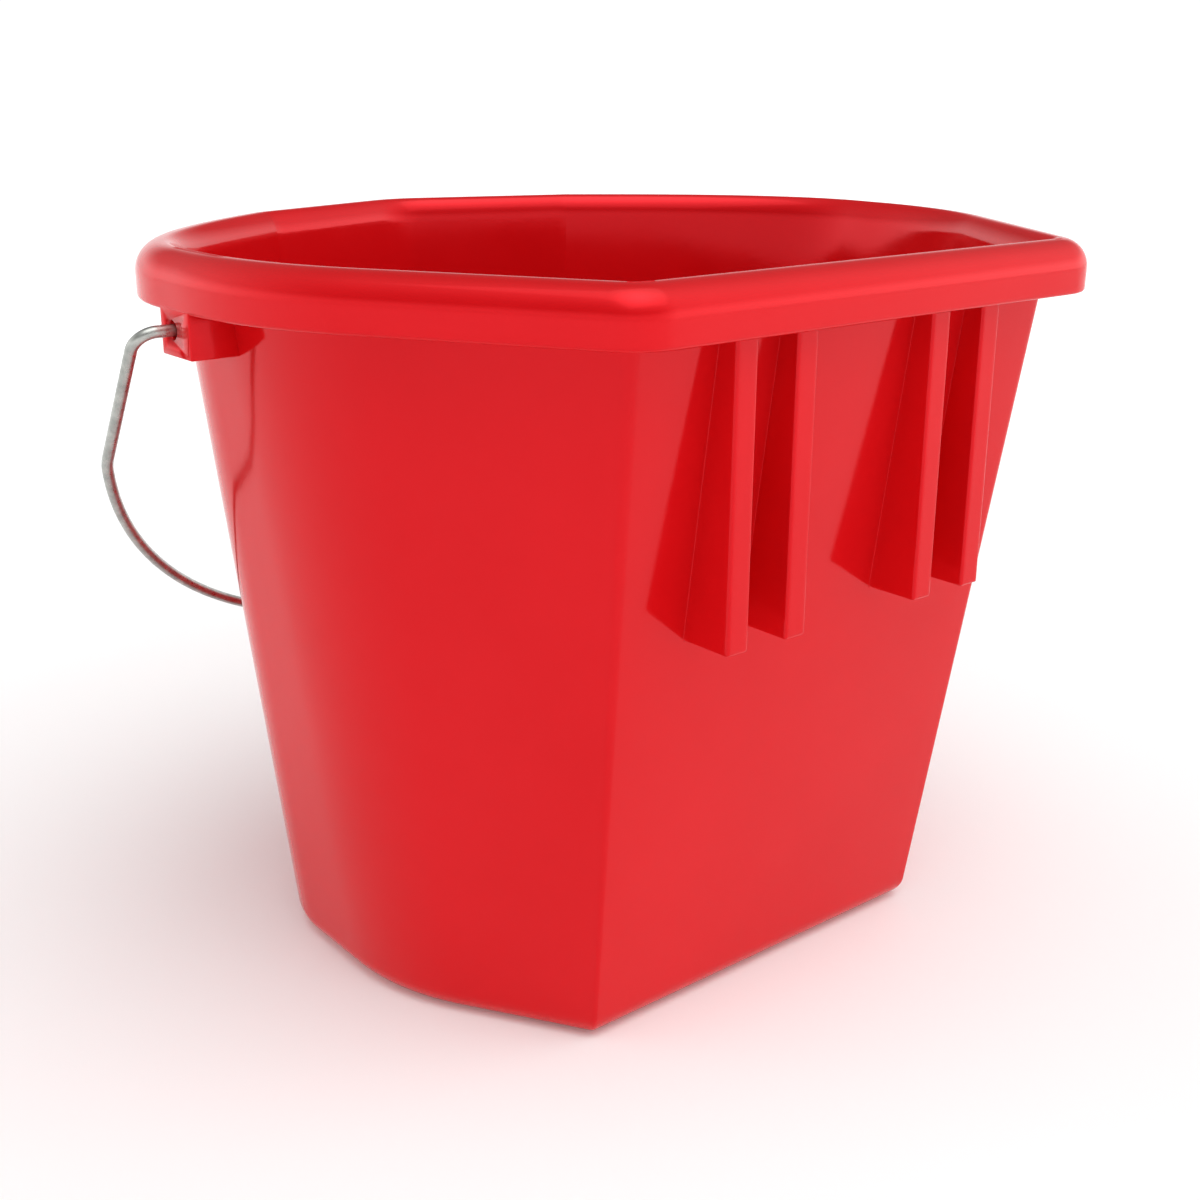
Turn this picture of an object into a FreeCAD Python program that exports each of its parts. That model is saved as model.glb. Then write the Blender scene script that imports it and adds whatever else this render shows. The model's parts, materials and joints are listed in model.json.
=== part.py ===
import FreeCAD, Part
import math
import os

from FreeCAD import Vector

# A flat-backed feed bucket with a swinging wire bail. Millimetres, +Z up.
# The origin is in the middle of the floor's underside. The flat back faces +Y and the rounded front
# faces -Y. The bail swings about an axis along X. Right is +X and left is -X.
# The bucket is one moulding. Its floor, wall, rim, skirt, lugs and ribs are separate solids that meet
# face to face.

# --- Rim plan: right half of the outer edge, from the flat back round to the nose ------------------
BACK_Y = 160.0                  # outer face of the rim along the flat back
BACK_HALF_WIDTH = 105.0         # the back's corner, before rounding
SIDE_HALF_WIDTH = 172.5         # the side's corner, before rounding
SIDE_DEPTH = 110.0              # how far the side's corner lies in front of the back
SHOULDER_HALF_WIDTH = 171.0     # where the side turns into the front, before rounding
SHOULDER_DEPTH = 216.0
NOSE_DEPTH = 330.0              # the front's corner on the centre line, before rounding

# Rounding of each corner: how far its curve reaches back along the edges on either side.
BACK_CUTS = (12.0, 12.0)
SIDE_CUTS = (38.0, 38.0)
SHOULDER_CUTS = (52.0, 98.0)
NOSE_CUTS = (100.0, 100.0)
FLOOR_CUT_SCALE = 0.8           # the same curves at the floor, against those at the rim

# --- Moulding -------------------------------------------------------------------------------------
RIM_BOTTOM = 253.0              # height of the rim skirt's lower edge
RIM_HEIGHT = 18.4               # from the skirt's lower edge to the crest
RIM_OVERHANG = 15.0             # how far the skirt stands out from the wall
RIM_OUTER_ROUND = 10.0
RIM_INNER_ROUND = (5.2, 8.5)    # width and height of the inner edge's rounding
RIM_ROOF = 4.8                  # thickness of the rim's top over the channel behind its skirt
CHANNEL_ROUND = 4.8             # rounding at the top of the skirt's inner face
SKIN = 2.6
FLOOR_SKIN = 3.2
FLOOR_EDGE_ROUND = 9.0
BACK_TAPER = 7.4                # degrees that each wall leans in towards the floor
SIDE_TAPER = 6.6
SHOULDER_TAPER = 7.6
NOSE_TAPER = 4.6
ROUNDING_STEPS = 5              # flats that stand for a rolled edge
SMALLEST_CUT = 1.0              # a corner keeps at least this much rounding
CUTTER_EXCESS = 1.0             # how far a cutting solid runs past what it cuts
RIM_TOP = RIM_BOTTOM + RIM_HEIGHT
CHANNEL_TOP = RIM_TOP - RIM_ROOF

# --- Stand-off ribs on the flat back --------------------------------------------------------------
RIB_OUTER_SIDES = (62.4, 36.4)  # distance from the centre line to each rib's outer side
RIB_THICKNESS = 9.2
RIB_RECESS = 7.6                # how far the ribs' faces lie inside the rim's outer face
RIB_BOTTOM = 152.0

# --- Bail lugs ------------------------------------------------------------------------------------
LUG_FACE_X = 171.8
LUG_WIDTH = 20.4
LUG_HEIGHT = 14.4
LUG_DEPTH = 30.0                # from its face to well inside the wall, before the wall is cut away
LUG_SKIN = 3.0
PIVOT_Y = 7.0
PIVOT_DROP = 5.8                # pivot axis below the rim skirt's lower edge
PIVOT_HOLE_RADIUS = 3.4
LUG_Y_SHIFT = 1.9               # lug's middle, behind the pivot axis

# --- Bail: its plane's coordinates are x and the distance from the pivot axis ------------------------
WIRE_RADIUS = 2.0
BAIL_HANG_ANGLE = 38.6          # degrees forward of straight down, with the wire against the nose
BAIL_HALF_WIDTH = 184.6         # centre line of the leg at the pivot axis
BAIL_LEG_LEAN = 3.0             # degrees that the leg leans in
BAIL_ARC_RADIUS = 188.0
BAIL_ARC_CENTRE = 14.0          # arc's centre below the pivot axis
BAIL_SHOULDER_RADIUS = 30.0     # bend between the leg and the arc
BAIL_ELBOW_RADIUS = 7.0         # bend between the leg and the pivot end
BAIL_END_X = 160.0              # inner end of the wire, inside the lug
BUTTON_RADIUS = 4.6             # flattened end that keeps the wire in the lug
BUTTON_THICKNESS = 2.2


def rim_polygon():
    """Corners of the rim's outer edge from above: right back corner first, then round by the nose."""
    right = [
        (BACK_HALF_WIDTH, BACK_Y),
        (SIDE_HALF_WIDTH, BACK_Y - SIDE_DEPTH),
        (SHOULDER_HALF_WIDTH, BACK_Y - SHOULDER_DEPTH),
    ]
    left = [(-x, y) for x, y in reversed(right)]
    return right + [(0.0, BACK_Y - NOSE_DEPTH)] + left


def corner_cuts():
    """Cuts before and after each of the seven corners, in the polygon's order."""
    right = [BACK_CUTS, SIDE_CUTS, SHOULDER_CUTS]
    left = [(after, before) for before, after in reversed(right)]
    return right + [NOSE_CUTS] + left


def edge_tapers():
    """Inward lean of the wall under each edge, in degrees, in the polygon's order."""
    right = [SIDE_TAPER, SHOULDER_TAPER, NOSE_TAPER]
    return right + right[::-1] + [BACK_TAPER]


def offset_polygon(points, distances):
    """Move each edge of the clockwise polygon outwards; edge i runs from corner i to corner i + 1."""
    count = len(points)
    lines = []
    for i, (x0, y0) in enumerate(points):
        x1, y1 = points[(i + 1) % count]
        length = math.hypot(x1 - x0, y1 - y0)
        normal_x = (y0 - y1) / length
        normal_y = (x1 - x0) / length
        lines.append((normal_x, normal_y, normal_x * x0 + normal_y * y0 + distances[i]))
    moved = []
    for (a, b, c), (d, e, f) in zip([lines[-1]] + lines[:-1], lines):
        scale = a * e - b * d
        moved.append(((c * e - b * f) / scale, (a * f - c * d) / scale))
    return moved


def rounded_wire(points, cuts, growth, height):
    """Closed wire at one height: straight edges joined by curves. Growth is the polygon's own offset."""
    corners = [Vector(x, y, height) for x, y in points]
    curves = []
    for i, corner in enumerate(corners):
        back = (corners[i - 1] - corner).normalize()
        ahead = (corners[(i + 1) % len(corners)] - corner).normalize()
        change = growth / math.tan(back.getAngle(ahead) / 2)
        curve = Part.BezierCurve()
        start = corner + back * max(cuts[i][0] + change, SMALLEST_CUT)
        end = corner + ahead * max(cuts[i][1] + change, SMALLEST_CUT)
        curve.setPoles([start, corner, end])
        curves.append((start, curve, end))
    edges = []
    for i, (start, curve, end) in enumerate(curves):
        next_start = curves[(i + 1) % len(curves)][0]
        edges.append(curve.toShape())
        edges.append(Part.LineSegment(end, next_start).toShape())
    return Part.Wire(edges)


def rim_section(height, inset):
    """Outline inside the rim's outer edge by the inset."""
    polygon = offset_polygon(rim_polygon(), [-inset] * 7)
    return rounded_wire(polygon, corner_cuts(), -inset, height)


def wall_section(height, inset):
    """Outline inside the tapered wall's outer surface by the inset. It goes on above the rim's skirt."""
    drop = RIM_BOTTOM - height
    distances = [-RIM_OVERHANG - inset - drop * math.tan(math.radians(t)) for t in edge_tapers()]
    polygon = offset_polygon(rim_polygon(), distances)
    scale = 1.0 - (1.0 - FLOOR_CUT_SCALE) * drop / RIM_BOTTOM
    cuts = [(before * scale, after * scale) for before, after in corner_cuts()]
    return rounded_wire(polygon, cuts, -RIM_OVERHANG - inset, height)


def rounding(width, height):
    """Steps round a quarter ellipse, as (distance from the side, distance from the top or bottom)."""
    steps = []
    for i in range(ROUNDING_STEPS + 1):
        angle = math.radians(90.0 * i / ROUNDING_STEPS)
        steps.append((width * (1 - math.cos(angle)), height * (1 - math.sin(angle))))
    return steps


def lofted(sections):
    """Solid through the sections, straight between each two."""
    return Part.makeLoft(sections, True, True)


def tub(inset, floor_height, edge_radius, top):
    """Solid tapered tub with a rounded floor edge, inside the wall's outer surface by the inset."""
    sections = []
    for side, bottom in reversed(rounding(edge_radius, edge_radius)):
        sections.append(wall_section(floor_height + bottom, inset + side))
    sections.append(wall_section(top, inset))
    return lofted(sections)


def slab(low, high):
    """Block wider than the bucket, between two heights."""
    corner = Vector(-2 * SIDE_HALF_WIDTH, -2 * NOSE_DEPTH, low)
    return Part.makeBox(4 * SIDE_HALF_WIDTH, 4 * NOSE_DEPTH, high - low, corner)


def mouth():
    """The space inside the rim, with the rounding of the rim's inner edge."""
    sections = [wall_section(RIM_BOTTOM - CUTTER_EXCESS, SKIN)]
    width, height = RIM_INNER_ROUND
    for side, top in rounding(width, height):
        sections.append(wall_section(RIM_TOP - top, SKIN - side))
    sections.append(wall_section(RIM_TOP + CUTTER_EXCESS, SKIN - width))
    return lofted(sections)


def bucket_floor():
    """The floor plate, with the lower part of the rounding under the wall."""
    return tub(0.0, 0.0, FLOOR_EDGE_ROUND, RIM_BOTTOM).common(slab(-CUTTER_EXCESS, FLOOR_SKIN))


def bucket_wall():
    """The tapered wall, from the floor plate up to the rim's roof."""
    outside = tub(0.0, 0.0, FLOOR_EDGE_ROUND, CHANNEL_TOP)
    inside = tub(SKIN, FLOOR_SKIN, FLOOR_EDGE_ROUND - SKIN, RIM_TOP)
    return outside.cut(inside).cut(mouth()).cut(slab(-CUTTER_EXCESS, FLOOR_SKIN))


def rim_block():
    """The whole space inside the rim's outer surface, out from the mouth."""
    sections = [rim_section(RIM_BOTTOM, 0.0)]
    for side, top in rounding(RIM_OUTER_ROUND, RIM_OUTER_ROUND):
        sections.append(rim_section(RIM_TOP - top, side))
    return lofted(sections).cut(mouth())


def rolled_rim():
    """Rounded roof of the rim, over the wall's top edge, the channel and the skirt."""
    return rim_block().common(slab(CHANNEL_TOP, RIM_TOP + CUTTER_EXCESS))


def rim_skirt():
    """Outer edge of the rim, which hangs down from the roof and leaves a channel beside the wall."""
    channel = [rim_section(RIM_BOTTOM - CUTTER_EXCESS, SKIN)]
    for side, top in rounding(CHANNEL_ROUND, CHANNEL_ROUND):
        channel.append(rim_section(CHANNEL_TOP - top, SKIN + side))
    inner_side = lofted(channel)
    return rim_block().common(slab(RIM_BOTTOM - CUTTER_EXCESS, CHANNEL_TOP)).cut(inner_side)


def wall_rib(outer_side, side):
    """Upright stand-off rib; its back lies on the wall and its top meets the rim's roof."""
    lean = math.tan(math.radians(BACK_TAPER))

    def wall_y(height):
        return BACK_Y - RIM_OVERHANG - (RIM_BOTTOM - height) * lean

    x = side * outer_side - (RIB_THICKNESS if side > 0 else 0.0)
    face_y = BACK_Y - RIB_RECESS
    corners = [
        Vector(x, wall_y(RIB_BOTTOM), RIB_BOTTOM),
        Vector(x, face_y, RIB_BOTTOM),
        Vector(x, face_y, CHANNEL_TOP),
        Vector(x, wall_y(CHANNEL_TOP), CHANNEL_TOP),
    ]
    profile = Part.Face(Part.makePolygon(corners + corners[:1]))
    return profile.extrude(Vector(RIB_THICKNESS, 0, 0))


def bail_lug(side):
    """Lug under the rim: an outer plate with the pivot hole and two webs back to the wall."""
    low = RIM_BOTTOM - LUG_HEIGHT
    y = PIVOT_Y + LUG_Y_SHIFT - LUG_WIDTH / 2
    inner_x = LUG_FACE_X - LUG_DEPTH
    block = Part.makeBox(LUG_DEPTH, LUG_WIDTH, LUG_HEIGHT, Vector(inner_x, y, low))
    pocket = Part.makeBox(LUG_DEPTH, LUG_WIDTH - 2 * LUG_SKIN, LUG_HEIGHT + 2 * CUTTER_EXCESS,
                          Vector(inner_x - LUG_SKIN, y + LUG_SKIN, low - CUTTER_EXCESS))
    pivot = Vector(inner_x, PIVOT_Y, RIM_BOTTOM - PIVOT_DROP)
    hole = Part.makeCylinder(PIVOT_HOLE_RADIUS, LUG_DEPTH + CUTTER_EXCESS, pivot, Vector(1, 0, 0))
    wall = lofted([wall_section(low - CUTTER_EXCESS, 0.0), wall_section(RIM_BOTTOM + CUTTER_EXCESS, 0.0)])
    lug = block.cut(pocket).cut(hole).cut(wall)
    return lug if side > 0 else lug.mirror(Vector(0, 0, 0), Vector(1, 0, 0))


def bail_point(x, reach):
    """Point of the bail's plane, at a distance from the pivot axis, in the hanging pose."""
    angle = math.radians(BAIL_HANG_ANGLE)
    pivot_z = RIM_BOTTOM - PIVOT_DROP
    return Vector(x, PIVOT_Y - reach * math.sin(angle), pivot_z - reach * math.cos(angle))


def shoulder_bend():
    """Ends and middle of the bend that joins the right leg to the arc, in the bail's plane."""
    lean = math.radians(BAIL_LEG_LEAN)
    down = (-math.sin(lean), math.cos(lean))
    inward = (-math.cos(lean), -math.sin(lean))
    # The bend's centre lies on a line beside the leg, at the bend's radius, and that far inside the arc.
    # The line's start and the distance along it are taken from the arc's centre.
    line_x = BAIL_HALF_WIDTH + BAIL_SHOULDER_RADIUS * inward[0]
    line_y = BAIL_SHOULDER_RADIUS * inward[1] - BAIL_ARC_CENTRE
    reach = BAIL_ARC_RADIUS - BAIL_SHOULDER_RADIUS
    before = line_x * down[0] + line_y * down[1]
    along = -before + math.sqrt(before ** 2 - line_x ** 2 - line_y ** 2 + reach ** 2)
    centre = (line_x + along * down[0], line_y + along * down[1] + BAIL_ARC_CENTRE)
    first = math.atan2(-inward[1], -inward[0])
    last = math.atan2(centre[1] - BAIL_ARC_CENTRE, centre[0])
    ends = []
    for angle in (first, (first + last) / 2, last):
        ends.append((centre[0] + BAIL_SHOULDER_RADIUS * math.cos(angle),
                     centre[1] + BAIL_SHOULDER_RADIUS * math.sin(angle)))
    return ends


def elbow_bend():
    """Ends and middle of the bend between the right leg and its pivot end, in the bail's plane."""
    turn = math.radians(90.0 + BAIL_LEG_LEAN)
    cut = BAIL_ELBOW_RADIUS * math.tan(turn / 2)
    lean = math.radians(BAIL_LEG_LEAN)
    centre = (BAIL_HALF_WIDTH - cut, BAIL_ELBOW_RADIUS)
    middle = (centre[0] + BAIL_ELBOW_RADIUS * math.sin(turn / 2),
              centre[1] - BAIL_ELBOW_RADIUS * math.cos(turn / 2))
    end = (BAIL_HALF_WIDTH - cut * math.sin(lean), cut * math.cos(lean))
    return (centre[0], 0.0), middle, end


def bail_path():
    """Centre line of the bail from the left pivot end to the right one."""
    elbow = elbow_bend()
    shoulder = shoulder_bend()
    right = [(BAIL_END_X, 0.0)] + list(elbow) + list(shoulder)
    points = [bail_point(x, reach) for x, reach in right]
    mirrored = [bail_point(-x, reach) for x, reach in right]
    apex = bail_point(0.0, BAIL_ARC_CENTRE + BAIL_ARC_RADIUS)
    edges = []
    for p in (mirrored, points):
        edges.append([
            Part.LineSegment(p[0], p[1]).toShape(),
            Part.Arc(p[1], p[2], p[3]).toShape(),
            Part.LineSegment(p[3], p[4]).toShape(),
            Part.Arc(p[4], p[5], p[6]).toShape(),
        ])
    arc = Part.Arc(mirrored[6], apex, points[6]).toShape()
    return Part.Wire(edges[0] + [arc] + edges[1][::-1])


def wire_bail():
    """The bent wire, with a flattened button on each end inside its lug."""
    path = bail_path()
    along_x = Vector(1, 0, 0)
    profile = Part.Wire(Part.makeCircle(WIRE_RADIUS, bail_point(-BAIL_END_X, 0.0), along_x))
    bail = path.makePipeShell([profile], True, False)
    for x in (-BAIL_END_X - BUTTON_THICKNESS, BAIL_END_X):
        button = Part.makeCylinder(BUTTON_RADIUS, BUTTON_THICKNESS, bail_point(x, 0.0), along_x)
        bail = bail.fuse(button)
    return bail.removeSplitter()


def main():
    parts = {
        "bucket_floor": bucket_floor(),
        "bucket_wall": bucket_wall(),
        "rolled_rim": rolled_rim(),
        "rim_skirt": rim_skirt(),
        "bail_lug_right": bail_lug(1),
        "bail_lug_left": bail_lug(-1),
        "wire_bail": wire_bail(),
    }
    for side, side_name in ((1, "right"), (-1, "left")):
        for outer_side, place in zip(RIB_OUTER_SIDES, ("outer", "inner")):
            parts["wall_rib_%s_%s" % (side_name, place)] = wall_rib(outer_side, side)
    os.makedirs("parts", exist_ok=True)
    for name, shape in parts.items():
        if not shape.isValid():
            raise RuntimeError(name + " is not a valid solid")
        shape.exportStep("parts/" + name + ".step")
        print(name, len(shape.Solids), "solid", round(shape.Volume / 1000.0, 2), "cm3")


main()
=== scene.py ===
import json
import math

import bmesh
import bpy
from mathutils import Matrix, Vector


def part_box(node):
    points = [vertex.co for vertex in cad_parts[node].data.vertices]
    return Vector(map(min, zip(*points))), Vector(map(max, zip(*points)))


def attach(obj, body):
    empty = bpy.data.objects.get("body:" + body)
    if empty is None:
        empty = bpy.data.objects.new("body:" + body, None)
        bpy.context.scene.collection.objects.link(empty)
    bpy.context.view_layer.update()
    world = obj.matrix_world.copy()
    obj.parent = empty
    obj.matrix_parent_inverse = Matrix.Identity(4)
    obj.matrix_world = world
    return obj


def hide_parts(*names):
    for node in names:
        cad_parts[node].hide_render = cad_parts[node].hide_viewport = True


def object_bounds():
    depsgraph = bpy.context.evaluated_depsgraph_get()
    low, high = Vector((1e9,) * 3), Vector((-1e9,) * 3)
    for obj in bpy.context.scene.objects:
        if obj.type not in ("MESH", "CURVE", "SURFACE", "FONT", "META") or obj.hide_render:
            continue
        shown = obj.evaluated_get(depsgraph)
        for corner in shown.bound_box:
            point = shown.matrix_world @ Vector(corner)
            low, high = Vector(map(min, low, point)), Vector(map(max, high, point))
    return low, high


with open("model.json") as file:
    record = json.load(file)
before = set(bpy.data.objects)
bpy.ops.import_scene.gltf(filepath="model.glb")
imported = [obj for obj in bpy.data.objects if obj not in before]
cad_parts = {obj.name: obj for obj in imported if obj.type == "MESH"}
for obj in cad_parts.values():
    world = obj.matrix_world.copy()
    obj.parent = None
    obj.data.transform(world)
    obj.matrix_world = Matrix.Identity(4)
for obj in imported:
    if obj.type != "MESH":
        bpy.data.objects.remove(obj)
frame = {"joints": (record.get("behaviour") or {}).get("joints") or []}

# A glossy red flat-backed feed bucket with a galvanised wire bail. Metres, +Z up.
# The flat back faces +Y, the rounded nose faces -Y, and the bail swings about an axis along X.
# The moulded skin is one loft of outlines that follow the same rounded polygon at every height.

CAD_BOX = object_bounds()

# --- Heights and places taken from the frame --------------------------------------------------------
RIM_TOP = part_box("rolled_rim")[1].z
BACK_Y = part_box("rim_skirt")[1].y
RIM_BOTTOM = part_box("rim_skirt")[0].z
CHANNEL_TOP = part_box("rim_skirt")[1].z
PIVOT = Vector(frame["joints"][0]["pos_m"])

# --- Rim plan: the right half of its outer edge, before rounding ------------------------------------
BACK_HALF_WIDTH = 0.105
SIDE_CORNER = (0.1725, BACK_Y - 0.110)
SHOULDER_CORNER = (0.171, BACK_Y - 0.216)
NOSE_CORNER = (0.0, BACK_Y - 0.330)
BACK_CUTS = (0.012, 0.012)
SIDE_CUTS = (0.038, 0.038)
SHOULDER_CUTS = (0.052, 0.098)
NOSE_CUTS = (0.100, 0.100)
FLOOR_CUT_SCALE = 0.8           # the same curves at the floor, against those at the rim
SMALLEST_CUT = 0.001
NOSE_CORNER_INDEX = 3
NOSE_CREASE = 0.012             # cut of the crease between the nose's two flats
TAPERS = (6.6, 7.6, 4.6)        # degrees: side, shoulder, nose
BACK_TAPER = 7.4

# --- Moulding section -------------------------------------------------------------------------------
SKIN = 0.0026
FLOOR_SKIN = 0.0032
RIM_OVERHANG = 0.015
RIM_OUTER_ROUND = 0.010
RIM_INNER_ROUND = (0.0052, 0.0085)      # width and height of the inner edge's rounding
CHANNEL_ROUND = 0.0048
WALL_FILLET = 0.0015
FLOOR_EDGE_ROUND = 0.009
FOOT_WIDTH = 0.006
FOOT_RECESS = 0.0010

# --- Mesh density -----------------------------------------------------------------------------------
CORNER_STEPS = (12, 18, 26)             # back, side and shoulder corners
CREASE_STEPS = 10                       # round the nose's crease
EDGE_SHARES = (0.06, 0.3, 0.7, 0.94)    # extra points along each straight edge
ROUND_STEPS = 10                        # round a large edge
SMALL_STEPS = 5                         # round a small edge
TINY_STEPS = 4                          # round a fillet or the foot's recess
END_MARGIN = 0.0015                     # from a wall's end to the close row of points beside it
INNER_ROWS = 9                          # up the inner wall
SKIRT_ROWS = 3                          # down the skirt
OUTER_ROWS = 12                         # down the outer wall
RIB_ROWS = 9                            # up a rib
FLOOR_SHARES = (0.2, 0.45, 0.7, 0.9)    # rings of the floor, as shares of its edge
FLOOR_MARGINS = (0.004, 0.0012)         # rows of the inner floor beside its rounded edge


def smoothed(mesh):
    """Shade every face smooth."""
    for polygon in mesh.polygons:
        polygon.use_smooth = True


def piece_from_bmesh(name, bm, material):
    """A new object of the mesh, with its normals made consistent."""
    bmesh.ops.recalc_face_normals(bm, faces=bm.faces)
    mesh = bpy.data.meshes.new(name)
    bm.to_mesh(mesh)
    bm.free()
    smoothed(mesh)
    mesh.materials.append(material)
    piece = bpy.data.objects.new(name, mesh)
    bpy.context.scene.collection.objects.link(piece)
    return piece


# --- Outlines ---------------------------------------------------------------------------------------
def rim_polygon():
    """Corners of the rim's outer edge from above: right back corner first, then round by the nose."""
    right = [(BACK_HALF_WIDTH, BACK_Y), SIDE_CORNER, SHOULDER_CORNER]
    left = [(-x, y) for x, y in reversed(right)]
    return right + [NOSE_CORNER] + left


def mirrored_list(right, middle):
    """The right side's values, then the middle one, then the left side's."""
    return list(right) + list(middle) + list(reversed(right))


def corner_cuts():
    """Cuts before and after each corner."""
    right = [BACK_CUTS, SIDE_CUTS, SHOULDER_CUTS]
    left = [(after, before) for before, after in reversed(right)]
    return right + [NOSE_CUTS] + left


def offset_polygon(points, distances):
    """Move each edge of the clockwise polygon outwards; edge i runs from corner i to corner i + 1."""
    lines = []
    for i, (x0, y0) in enumerate(points):
        x1, y1 = points[(i + 1) % len(points)]
        length = math.hypot(x1 - x0, y1 - y0)
        normal = ((y0 - y1) / length, (x1 - x0) / length)
        lines.append((*normal, normal[0] * x0 + normal[1] * y0 + distances[i]))
    moved = []
    for (a, b, c), (d, e, f) in zip([lines[-1]] + lines[:-1], lines):
        scale = a * e - b * d
        moved.append(((c * e - b * f) / scale, (a * f - c * d) / scale))
    return moved


def curve(start, corner, end, steps):
    """Points along a quadratic curve that leaves start and reaches end along the corner's edges."""
    shares = [k / steps for k in range(steps + 1)]
    return [start * (1 - t) ** 2 + corner * (2 * t * (1 - t)) + end * t ** 2 for t in shares]


def nose_flats(start, corner, end):
    """The nose: two flats that meet in a softened crease where a round nose would have its tip."""
    tip = (start + 2 * corner + end) / 4
    first = tip + (start - tip).normalized() * NOSE_CREASE
    last = tip + (end - tip).normalized() * NOSE_CREASE
    leading = [start] + [start.lerp(first, share) for share in EDGE_SHARES]
    trailing = [last.lerp(end, share) for share in EDGE_SHARES] + [end]
    return leading + curve(first, tip, last, CREASE_STEPS) + trailing


def rounded_outline(points, cuts, growth, height):
    """Points round the outline at one height: each corner, then its straight edge."""
    corners = [Vector((x, y, height)) for x, y in points]
    steps = mirrored_list(CORNER_STEPS, [CREASE_STEPS])
    starts, ends = [], []
    for i, corner in enumerate(corners):
        back = (corners[i - 1] - corner).normalized()
        ahead = (corners[(i + 1) % len(corners)] - corner).normalized()
        change = growth / math.tan(back.angle(ahead) / 2)
        starts.append(corner + back * max(cuts[i][0] + change, SMALLEST_CUT))
        ends.append(corner + ahead * max(cuts[i][1] + change, SMALLEST_CUT))
    outline = []
    for i, corner in enumerate(corners):
        if i == NOSE_CORNER_INDEX:
            outline.extend(nose_flats(starts[i], corner, ends[i]))
        else:
            outline.extend(curve(starts[i], corner, ends[i], steps[i]))
        next_start = starts[(i + 1) % len(corners)]
        outline.extend(ends[i].lerp(next_start, share) for share in EDGE_SHARES)
    return outline


def rim_outline(inset, height):
    """Outline inside the rim's outer edge by the inset."""
    polygon = rim_polygon()
    moved = offset_polygon(polygon, [-inset] * len(polygon))
    return rounded_outline(moved, corner_cuts(), -inset, height)


def wall_outline(inset, height):
    """Outline inside the tapered wall's outer surface by the inset."""
    drop = RIM_BOTTOM - height
    tapers = list(TAPERS) + list(reversed(TAPERS)) + [BACK_TAPER]
    distances = [-RIM_OVERHANG - inset - drop * math.tan(math.radians(t)) for t in tapers]
    scale = 1 - (1 - FLOOR_CUT_SCALE) * drop / RIM_BOTTOM
    cuts = [(before * scale, after * scale) for before, after in corner_cuts()]
    return rounded_outline(offset_polygon(rim_polygon(), distances), cuts, -RIM_OVERHANG - inset, height)


def quarter(width, height, steps=ROUND_STEPS):
    """Steps round a quarter ellipse, as (distance from the side, distance from the top or bottom)."""
    turns = [math.pi / 2 * k / steps for k in range(steps + 1)]
    return [(width * (1 - math.cos(a)), height * (1 - math.sin(a))) for a in turns]


def spaced(low, high, count):
    """Heights between two ends, with both ends left out and a close row beside each."""
    margin = min(END_MARGIN, (high - low) / 8)
    return [low + margin + (high - low - 2 * margin) * k / (count - 1) for k in range(count)]


# --- The moulded skin -------------------------------------------------------------------------------
def inside_rows():
    """Outlines from the inner floor's edge up the inner wall and over its rounding to the crest."""
    edge = FLOOR_EDGE_ROUND - SKIN
    rows = [wall_outline(SKIN + edge + margin, FLOOR_SKIN) for margin in FLOOR_MARGINS]
    for side, bottom in reversed(quarter(edge, edge)):
        rows.append(wall_outline(SKIN + side, FLOOR_SKIN + bottom))
    width, height = RIM_INNER_ROUND
    for z in spaced(FLOOR_SKIN + edge, RIM_TOP - height, INNER_ROWS):
        rows.append(wall_outline(SKIN, z))
    for side, top in quarter(width, height):
        rows.append(wall_outline(SKIN - side, RIM_TOP - top))
    return rows


def rim_rows():
    """Outlines from the crest down the skirt, round its lower edge and up into the channel."""
    rows = []
    for side, top in reversed(quarter(RIM_OUTER_ROUND, RIM_OUTER_ROUND)):
        rows.append(rim_outline(side, RIM_TOP - top))
    lip = SKIN / 2
    for z in reversed(spaced(RIM_BOTTOM + lip, RIM_TOP - RIM_OUTER_ROUND, SKIRT_ROWS)):
        rows.append(rim_outline(0, z))
    for k in range(ROUND_STEPS + 1):
        angle = math.pi * k / ROUND_STEPS
        rows.append(rim_outline(lip * (1 - math.cos(angle)), RIM_BOTTOM + lip * (1 - math.sin(angle))))
    for side, top in quarter(CHANNEL_ROUND, CHANNEL_ROUND, SMALL_STEPS):
        rows.append(rim_outline(SKIN + side, CHANNEL_TOP - top))
    return rows


def outside_rows():
    """Outlines from the channel's roof down the outer wall and round to the recessed underside."""
    rows = []
    for side, top in reversed(quarter(WALL_FILLET, WALL_FILLET, TINY_STEPS)):
        rows.append(wall_outline(-side, CHANNEL_TOP - top))
    for z in reversed(spaced(FLOOR_EDGE_ROUND, CHANNEL_TOP - WALL_FILLET, OUTER_ROWS)):
        rows.append(wall_outline(0, z))
    for side, bottom in quarter(FLOOR_EDGE_ROUND, FLOOR_EDGE_ROUND):
        rows.append(wall_outline(side, bottom))
    foot = FLOOR_EDGE_ROUND + FOOT_WIDTH
    rows.append(wall_outline(foot - FOOT_RECESS, 0))
    for side, bottom in reversed(quarter(FOOT_RECESS, FOOT_RECESS, TINY_STEPS)):
        rows.append(wall_outline(foot + FOOT_RECESS - side, FOOT_RECESS - bottom))
    rows.append(wall_outline(foot + 3 * FOOT_RECESS, FOOT_RECESS))
    return rows


def shrunk(outline, share, height):
    """The outline drawn in towards the middle of the floor."""
    middle = sum(outline, Vector()) / len(outline)
    return [Vector((*(middle.lerp(p, share)).xy, height)) for p in outline]


def loft(bm, rows):
    """Faces between each row of points and the next. Returns the rows of vertices."""
    rings = [[bm.verts.new(p) for p in row] for row in rows]
    for lower, upper in zip(rings, rings[1:]):
        for i in range(len(lower)):
            j = (i + 1) % len(lower)
            bm.faces.new((lower[i], lower[j], upper[j], upper[i]))
    return rings


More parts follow.
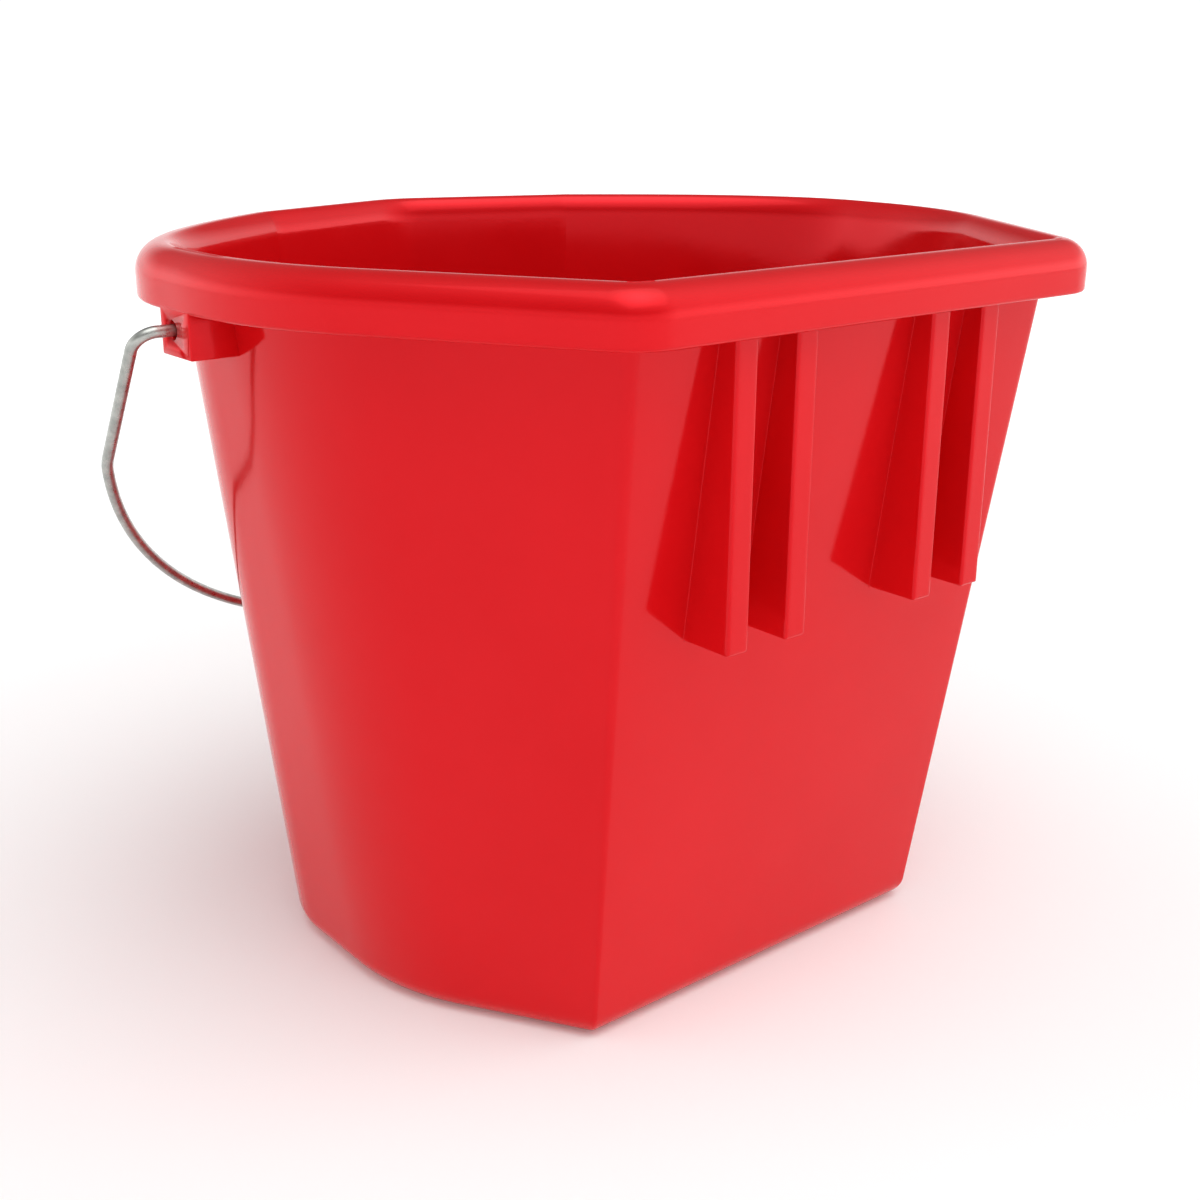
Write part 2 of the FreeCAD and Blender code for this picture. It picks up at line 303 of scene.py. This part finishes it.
def close(bm, ring):
    """Fan of faces from a ring to its middle."""
    middle = bm.verts.new(sum((v.co for v in ring), Vector()) / len(ring))
    for i, vertex in enumerate(ring):
        bm.faces.new((vertex, ring[(i + 1) % len(ring)], middle))


def bucket_moulding(material):
    """The floor, wall, rim and skirt as one closed skin."""
    rows = inside_rows() + rim_rows() + outside_rows()
    inner_floor = [shrunk(rows[0], share, FLOOR_SKIN) for share in FLOOR_SHARES]
    underside = [shrunk(rows[-1], share, FOOT_RECESS) for share in reversed(FLOOR_SHARES)]
    bm = bmesh.new()
    rings = loft(bm, inner_floor + rows + underside)
    close(bm, rings[0])
    close(bm, rings[-1])
    piece = piece_from_bmesh("bucket_moulding", bm, material)
    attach(piece, "bucket")
    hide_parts("bucket_floor", "bucket_wall", "rolled_rim", "rim_skirt")


# --- Stand-off ribs ---------------------------------------------------------------------------------
RIB_EDGE = 0.0011               # rounding of the rib's outer edges
RIB_FILLET = 0.0002             # fillet between the rib and the wall
RIB_EMBED = 0.0012              # depth of the rib's root inside the wall
RIB_SIDE_SHARES = (0.12, 0.88)  # extra points along the rib's flat side


def back_wall_y(height):
    """The flat back wall's outer surface."""
    return BACK_Y - RIM_OVERHANG - (RIM_BOTTOM - height) * math.tan(math.radians(BACK_TAPER))


def rib_section(x0, x1, face, height, inset):
    """Outline of a rib from above at one height: root, fillet, side, rounded edge, face and back."""
    wall = back_wall_y(height)
    left = [(x0 - RIB_FILLET, wall - RIB_EMBED), (x0 - RIB_FILLET, wall)]
    for side, rise in reversed(quarter(RIB_FILLET, RIB_FILLET, TINY_STEPS)):
        left.append((x0 - side, wall + rise))
    flat = face - wall - RIB_FILLET - RIB_EDGE
    left.extend((x0, wall + RIB_FILLET + flat * share) for share in RIB_SIDE_SHARES)
    for side, drop in quarter(RIB_EDGE, RIB_EDGE, SMALL_STEPS):
        left.append((x0 + side, face - drop))
    left.append((x0 + 2 * RIB_EDGE, face))
    middle = (x0 + x1) / 2
    outline = left + [(2 * middle - x, y) for x, y in reversed(left)]
    half = (x1 - x0) / 2
    drawn_in = []
    for x, y in outline:
        share = (half - inset) / half if abs(x - middle) <= half else 1
        drawn_in.append(Vector((middle + (x - middle) * share, min(y, face - inset), height)))
    return drawn_in


def wall_rib(node, material):
    """One rib with rounded edges, from its level lower end up to the rim's roof."""
    low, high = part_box(node)
    rows = []
    for side, bottom in reversed(quarter(RIB_EDGE, RIB_EDGE, SMALL_STEPS)):
        rows.append(rib_section(low.x, high.x, high.y, low.z + bottom, side))
    for z in spaced(low.z + RIB_EDGE, CHANNEL_TOP, RIB_ROWS):
        rows.append(rib_section(low.x, high.x, high.y, z, 0))
    bm = bmesh.new()
    rings = loft(bm, rows)
    bm.faces.new(rings[0])
    bm.faces.new(rings[-1])
    piece = piece_from_bmesh(node + "_moulded", bm, material)
    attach(piece, "bucket")
    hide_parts(node)


# --- Bail lugs --------------------------------------------------------------------------------------
LUG_PLATE = 0.003               # thickness of the webs and the outer plate
LUG_EDGE = 0.0006
LUG_EDGE_STEPS = 3
LUG_ROOT = 0.0006               # how far the webs run into the wall's skin
LUG_RISE = 0.0018               # how far the lug runs up into the skirt
HOLE_RADIUS = 0.0034
HOLE_SIDES = 48


def lug_plan(low, high, lean):
    """Outline of the right lug from above: two webs and an outer plate. The wall leans out by lean."""
    face = high.x
    root = low.x - LUG_ROOT + lean
    inner = face - LUG_PLATE
    return [
        (root, low.y), (face, low.y), (face, high.y), (root, high.y),
        (root, high.y - LUG_PLATE), (inner, high.y - LUG_PLATE),
        (inner, low.y + LUG_PLATE), (root, low.y + LUG_PLATE),
    ]


def cut_with(piece, cutter):
    """Take the cutter's shape out of the piece, then remove the cutter."""
    modifier = piece.modifiers.new("hole", "BOOLEAN")
    modifier.operation = "DIFFERENCE"
    modifier.solver = "EXACT"
    modifier.object = cutter
    depsgraph = bpy.context.evaluated_depsgraph_get()
    mesh = bpy.data.meshes.new_from_object(piece.evaluated_get(depsgraph))
    piece.modifiers.clear()
    piece.data = mesh
    bpy.data.objects.remove(cutter)


def bail_lug(node, material):
    """One lug with an open underside and a round pivot hole through its outer plate."""
    low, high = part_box(node)
    side = 1 if high.x > 0 else -1
    if side < 0:
        low, high = Vector((-high.x, low.y, low.z)), Vector((-low.x, high.y, high.z))
    bm = bmesh.new()
    rings = []
    for z in (low.z, high.z + LUG_RISE):
        lean = (z - low.z) * math.tan(math.radians(TAPERS[1]))
        rings.append([bm.verts.new((side * x, y, z)) for x, y in lug_plan(low, high, lean)])
    bottom, top = rings
    for i in range(len(bottom)):
        j = (i + 1) % len(bottom)
        bm.faces.new((bottom[i], bottom[j], top[j], top[i]))
    bm.faces.new(bottom)
    bm.faces.new(top)
    bmesh.ops.bevel(bm, geom=bm.edges[:], offset=LUG_EDGE, segments=LUG_EDGE_STEPS, profile=0.5,
                    affect="EDGES")
    piece = piece_from_bmesh(node + "_moulded", bm, material)
    hole = bmesh.new()
    turn = Matrix.Translation((high.x * side, PIVOT.y, PIVOT.z)) @ Matrix.Rotation(math.pi / 2, 4, "Y")
    bmesh.ops.create_cone(hole, cap_ends=True, segments=HOLE_SIDES, radius1=HOLE_RADIUS,
                          radius2=HOLE_RADIUS, depth=4 * LUG_PLATE, matrix=turn)
    cut_with(piece, piece_from_bmesh("hole_cutter", hole, material))
    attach(piece, "bucket")
    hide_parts(node)


# --- Wire bail --------------------------------------------------------------------------------------
WIRE_RADIUS = 0.002
HANG_ANGLE = math.radians(38.6)         # forward of straight down
LEG_X = 0.1846                          # the leg's middle line at the pivot axis
LEG_LEAN = math.radians(3.0)            # outwards, away from the pivot
ARC_RADIUS = 0.188
ARC_CENTRE = 0.014                      # the arc's centre, out from the pivot axis
SHOULDER_RADIUS = 0.030                 # bend between the leg and the arc
ELBOW_RADIUS = 0.007                    # bend between the leg and the end in the lug
BEND_STEPS = 12
ARC_STEPS = 70
END_X = 0.160
BUTTON_RADIUS = 0.0046
BUTTON_THICKNESS = 0.0022
# Half outline of the button, as (share of its thickness, share of its radius).
BUTTON_PROFILE = ((0, 0.4), (0, 0.85), (0.25, 1), (0.75, 1), (1, 0.85), (1.3, 0.5))
WIRE_SIDES = 24


def arc_points(centre, radius, first, last, steps):
    """Points along an arc, angles from the first axis of the bail's plane."""
    angles = [first + (last - first) * k / steps for k in range(steps + 1)]
    return [(centre[0] + radius * math.cos(a), centre[1] + radius * math.sin(a)) for a in angles]


def right_half_path():
    """Right half of the bail in its own plane, as (x, distance from the pivot axis), from the top."""
    out = (math.cos(LEG_LEAN), math.sin(LEG_LEAN))
    down = (-out[1], out[0])
    cut = ELBOW_RADIUS * math.tan((math.pi / 2 + LEG_LEAN) / 2)
    elbow = arc_points((LEG_X - cut, ELBOW_RADIUS), ELBOW_RADIUS, -math.pi / 2, LEG_LEAN, BEND_STEPS)
    line = (LEG_X - SHOULDER_RADIUS * out[0], -SHOULDER_RADIUS * out[1] - ARC_CENTRE)
    reach = ARC_RADIUS - SHOULDER_RADIUS
    before = line[0] * down[0] + line[1] * down[1]
    along = -before + math.sqrt(before ** 2 - line[0] ** 2 - line[1] ** 2 + reach ** 2)
    centre = (line[0] + along * down[0], line[1] + along * down[1] + ARC_CENTRE)
    turn = math.atan2(centre[1] - ARC_CENTRE, centre[0])
    shoulder = arc_points(centre, SHOULDER_RADIUS, LEG_LEAN, turn, BEND_STEPS)
    arc = arc_points((0, ARC_CENTRE), ARC_RADIUS, turn, math.pi / 2, ARC_STEPS)
    return [(END_X + 2 * BUTTON_RADIUS, 0)] + elbow + shoulder + arc[1:]


def bail_point(x, reach):
    """Point of the bail's plane in the row frame, at rest."""
    return Vector((x, PIVOT.y - reach * math.sin(HANG_ANGLE), PIVOT.z - reach * math.cos(HANG_ANGLE)))


def tube(bm, points, radii, across):
    """Round tube along a flat path; across is the direction square to the path's plane."""
    rows = []
    for i, point in enumerate(points):
        ahead = points[min(i + 1, len(points) - 1)] - points[max(i - 1, 0)]
        sideways = ahead.normalized().cross(across).normalized()
        turns = [2 * math.pi * k / WIRE_SIDES for k in range(WIRE_SIDES)]
        rows.append([point + (sideways * math.cos(a) + across * math.sin(a)) * radii[i] for a in turns])
    rings = loft(bm, rows)
    close(bm, rings[0])
    close(bm, rings[-1])


def wire_bail(material):
    """The bent wire with a headed button on each end."""
    right = right_half_path()
    head = [(END_X + x * BUTTON_THICKNESS, max(r * BUTTON_RADIUS, WIRE_RADIUS)) for x, r in BUTTON_PROFILE]
    half = [(x, 0, r) for x, r in head] + [(x, reach, WIRE_RADIUS) for x, reach in right]
    whole = half + [(-x, reach, r) for x, reach, r in reversed(half[:-1])]
    points = [bail_point(x, reach) for x, reach, _ in whole]
    radii = [r for _, _, r in whole]
    across = Vector((0, -math.cos(HANG_ANGLE), math.sin(HANG_ANGLE)))
    bm = bmesh.new()
    tube(bm, points, radii, across)
    piece = piece_from_bmesh("galvanised_bail", bm, material)
    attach(piece, "bail")
    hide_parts("wire_bail")


# --- Materials --------------------------------------------------------------------------------------
PLASTIC_REDS = ((0.60, 0.003, 0.005), (0.66, 0.006, 0.009))
PLASTIC_IOR = 2.5                       # glossier than real polypropylene, which is about 1.49
PLASTIC_GLOSS_TINT = (1.0, 0.065, 0.08, 1)
ZINC_GREYS = ((0.36, 0.37, 0.35), (0.50, 0.51, 0.48))
FLOOR_WHITES = ((0.90, 0.90, 0.90), (0.93, 0.93, 0.93))


def new_material(name):
    """A node material and its shader."""
    material = bpy.data.materials.new(name)
    material.use_nodes = True
    return material, material.node_tree.nodes["Principled BSDF"]


def noise(tree, coordinates, scale, detail=3.0, stretch=(1, 1, 1)):
    """Noise in the object's own coordinates; returns its value socket."""
    mapping = tree.nodes.new("ShaderNodeMapping")
    mapping.inputs["Scale"].default_value = stretch
    tree.links.new(coordinates, mapping.inputs["Vector"])
    node = tree.nodes.new("ShaderNodeTexNoise")
    node.inputs["Scale"].default_value = scale
    node.inputs["Detail"].default_value = detail
    tree.links.new(mapping.outputs["Vector"], node.inputs["Vector"])
    return node.outputs["Fac"]


def ramp(tree, value, low, high, first, last):
    """Map a value from the range low..high to first..last."""
    node = tree.nodes.new("ShaderNodeMapRange")
    tree.links.new(value, node.inputs["Value"])
    for name, number in (("From Min", low), ("From Max", high), ("To Min", first), ("To Max", last)):
        node.inputs[name].default_value = number
    return node.outputs["Result"]


def mixed_colour(tree, factor, first, last):
    """Colour between two, by a factor."""
    node = tree.nodes.new("ShaderNodeMix")
    node.data_type = "RGBA"
    node.inputs[6].default_value = (*first, 1)
    node.inputs[7].default_value = (*last, 1)
    tree.links.new(factor, node.inputs[0])
    return node.outputs[2]


def combined(tree, operation, first, second):
    """Two values joined by one operation; the second may be a number."""
    node = tree.nodes.new("ShaderNodeMath")
    node.operation = operation
    tree.links.new(first, node.inputs[0])
    if isinstance(second, (int, float)):
        node.inputs[1].default_value = second
    else:
        tree.links.new(second, node.inputs[1])
    return node.outputs[0]


def bump(tree, shader, layers):
    """Chain of bumps, each as (height socket, strength, distance)."""
    normal = None
    for height, strength, distance in layers:
        node = tree.nodes.new("ShaderNodeBump")
        node.inputs["Strength"].default_value = strength
        node.inputs["Distance"].default_value = distance
        tree.links.new(height, node.inputs["Height"])
        if normal:
            tree.links.new(normal, node.inputs["Normal"])
        normal = node.outputs["Normal"]
    tree.links.new(normal, shader.inputs["Normal"])


def red_plastic():
    """Glossy moulded polypropylene: faint flow marks, orange peel and hairline scuffs.

    Its gloss is set red and strong, for deep reflections beside the ribs.
    """
    material, shader = new_material("red_plastic")
    tree = material.node_tree
    place = tree.nodes.new("ShaderNodeTexCoord").outputs["Object"]
    flow = noise(tree, place, 9.0, 2.0, (1, 1, 0.35))
    cloud = noise(tree, place, 28.0, 4.0)
    peel = noise(tree, place, 420.0, 2.0)
    grain = noise(tree, place, 2600.0, 2.0)
    hairline = noise(tree, place, 120.0, 6.0, (1, 1, 9))
    tint = combined(tree, "ADD", ramp(tree, flow, 0.3, 0.7, 0, 0.6), ramp(tree, cloud, 0.3, 0.7, 0, 0.4))
    colour = mixed_colour(tree, tint, *PLASTIC_REDS)
    tree.links.new(colour, shader.inputs["Base Color"])
    scuff = ramp(tree, hairline, 0.62, 0.78, 0, 0.08)
    gloss = combined(tree, "ADD", ramp(tree, cloud, 0.3, 0.7, 0.09, 0.13), scuff)
    tree.links.new(gloss, shader.inputs["Roughness"])
    shader.inputs["IOR"].default_value = PLASTIC_IOR
    shader.inputs["Specular Tint"].default_value = PLASTIC_GLOSS_TINT
    bump(tree, shader, [(flow, 0.12, 0.0010), (peel, 0.04, 0.0003), (grain, 0.03, 0.00005)])
    return material


def galvanised_wire():
    """Drawn steel wire with a dull zinc coat: mottled colour and gloss, and small nicks."""
    material, shader = new_material("galvanised_wire")
    tree = material.node_tree
    place = tree.nodes.new("ShaderNodeTexCoord").outputs["Object"]
    mottle = noise(tree, place, 240.0, 4.0)
    spangle = noise(tree, place, 620.0, 3.0)
    nicks = noise(tree, place, 1900.0, 5.0)
    colour = mixed_colour(tree, ramp(tree, mottle, 0.35, 0.65, 0, 1), *ZINC_GREYS)
    tree.links.new(colour, shader.inputs["Base Color"])
    shader.inputs["Metallic"].default_value = 1.0
    tree.links.new(ramp(tree, spangle, 0.3, 0.7, 0.24, 0.42), shader.inputs["Roughness"])
    bump(tree, shader, [(spangle, 0.15, 0.0002), (nicks, 0.12, 0.0001)])
    return material


def studio_floor_material():
    """Matt near-white floor with a painted glow: it gives off light that grows with distance from the
    bucket, whitening the floor round the bucket's shadow and brightening what the walls and skirt reflect.
    """
    material, shader = new_material("studio_floor")
    tree = material.node_tree
    place = tree.nodes.new("ShaderNodeTexCoord").outputs["Object"]
    cloud = noise(tree, place, 3.0, 3.0)
    tree.links.new(mixed_colour(tree, cloud, *FLOOR_WHITES), shader.inputs["Base Color"])
    shader.inputs["Roughness"].default_value = 0.9
    shader.inputs["Emission Color"].default_value = (1, 1, 1, 1)
    distance = tree.nodes.new("ShaderNodeVectorMath")
    distance.operation = "LENGTH"
    tree.links.new(place, distance.inputs[0])
    # Painted glow: the floor gives off light that grows with distance from the bucket.
    glow = ramp(tree, distance.outputs["Value"], *PAINTED_GLOW_DISTANCES, *PAINTED_FLOOR_GLOW)
    tree.links.new(glow, shader.inputs["Emission Strength"])
    return material


# --- Stage: floor, light and camera -----------------------------------------------------------------
FLOOR_HALF = 12.0
PAINTED_FLOOR_GLOW = (0.08, 0.35)               # painted glow given off by the floor: beside the bucket, and far out
PAINTED_GLOW_DISTANCES = (0.35, 1.40)           # distances from the bucket over which that painted glow grows
SURROUND = 0.17                         # light from all round
HORIZON_LIGHT = 0.86                    # extra light low down, which keeps the far background white
HORIZON_BAND = (0.14, 0.36)             # heights of direction over which that light fades out
# Broad soft lights in the surround, each as (direction, strength, narrowness).
SURROUND_LIGHTS = (
    ((-0.84, 0.46, 0.26), 1.05, 5),     # right of the view
    ((0.64, -0.72, 0.26), 0.80, 5),     # left of the view
    ((0.05, 0.32, 0.95), 2.8, 7),       # above the bucket, out from its flat back
)
SOFTBOX_PLACE = (0.06, 0.40, 1.30)      # above the bucket, out from its flat back
SOFTBOX_SIZE = 1.4
SOFTBOX_POWER = 2.5
SOFTBOX_TARGET = (0, 0, 0.2)
CAMERA_PLACE = Vector((0.3927, 0.4871, 0.3289))
CAMERA_AZIMUTH = math.radians(140.26)   # 0 looks along +Y, turning towards -X
CAMERA_PITCH = math.radians(18.60)      # downwards
CAMERA_ROLL = math.radians(0.33)
CAMERA_LENS = 47.9


def floor():
    """The wide plain floor that the bucket stands on."""
    bm = bmesh.new()
    bmesh.ops.create_grid(bm, x_segments=4, y_segments=4, size=FLOOR_HALF)
    piece = piece_from_bmesh("studio_floor", bm, studio_floor_material())
    piece.location.z = CAD_BOX[0].z


def area_light(name, place, target, size, power):
    """A square soft white light that faces its target."""
    data = bpy.data.lights.new(name, "AREA")
    data.shape = "SQUARE"
    data.size = size
    data.energy = power
    lamp = bpy.data.objects.new(name, data)
    lamp.location = place
    lamp.rotation_euler = (Vector(target) - Vector(place)).to_track_quat("-Z", "Y").to_euler()
    bpy.context.scene.collection.objects.link(lamp)


def studio_world():
    """White surround, brighter near the horizon, with broad soft lights in it."""
    world = bpy.data.worlds.new("studio")
    world.use_nodes = True
    tree = world.node_tree
    direction = tree.nodes.new("ShaderNodeTexCoord").outputs["Generated"]
    background = tree.nodes["Background"]
    background.inputs["Color"].default_value = (1, 1, 1, 1)
    height = tree.nodes.new("ShaderNodeSeparateXYZ")
    tree.links.new(direction, height.inputs[0])
    total = ramp(tree, height.outputs["Z"], *HORIZON_BAND, SURROUND + HORIZON_LIGHT, SURROUND)
    for towards, strength, narrowness in SURROUND_LIGHTS:
        facing = tree.nodes.new("ShaderNodeVectorMath")
        facing.operation = "DOT_PRODUCT"
        facing.inputs[1].default_value = Vector(towards).normalized()
        tree.links.new(direction, facing.inputs[0])
        glow = combined(tree, "MAXIMUM", facing.outputs["Value"], 0.0)
        glow = combined(tree, "POWER", glow, float(narrowness))
        glow = combined(tree, "MULTIPLY", glow, strength)
        total = combined(tree, "ADD", glow, total)
    tree.links.new(total, background.inputs["Strength"])
    bpy.context.scene.world = world


def light():
    """The soft surround and one softbox above the bucket."""
    studio_world()
    area_light("overhead_softbox", SOFTBOX_PLACE, SOFTBOX_TARGET, SOFTBOX_SIZE, SOFTBOX_POWER)


def camera():
    """The viewing camera, turned to its azimuth, pitch and roll."""
    data = bpy.data.cameras.new("camera")
    data.lens = CAMERA_LENS
    data.sensor_width = 36
    data.clip_start = 0.01
    view = bpy.data.objects.new("camera", data)
    turn = Matrix.Rotation(CAMERA_AZIMUTH, 3, "Z")
    turn = turn @ Matrix.Rotation(math.pi / 2 - CAMERA_PITCH, 3, "X")
    turn = turn @ Matrix.Rotation(CAMERA_ROLL, 3, "Z")
    view.matrix_world = Matrix.Translation(CAMERA_PLACE) @ turn.to_4x4()
    bpy.context.scene.collection.objects.link(view)
    bpy.context.scene.camera = view


plastic = red_plastic()
bucket_moulding(plastic)
for rib_side in ("right", "left"):
    for rib_place in ("outer", "inner"):
        wall_rib("wall_rib_%s_%s" % (rib_side, rib_place), plastic)
    bail_lug("bail_lug_" + rib_side, plastic)
wire_bail(galvanised_wire())

floor()
light()
camera()
bpy.context.scene.view_settings.view_transform = "Standard"
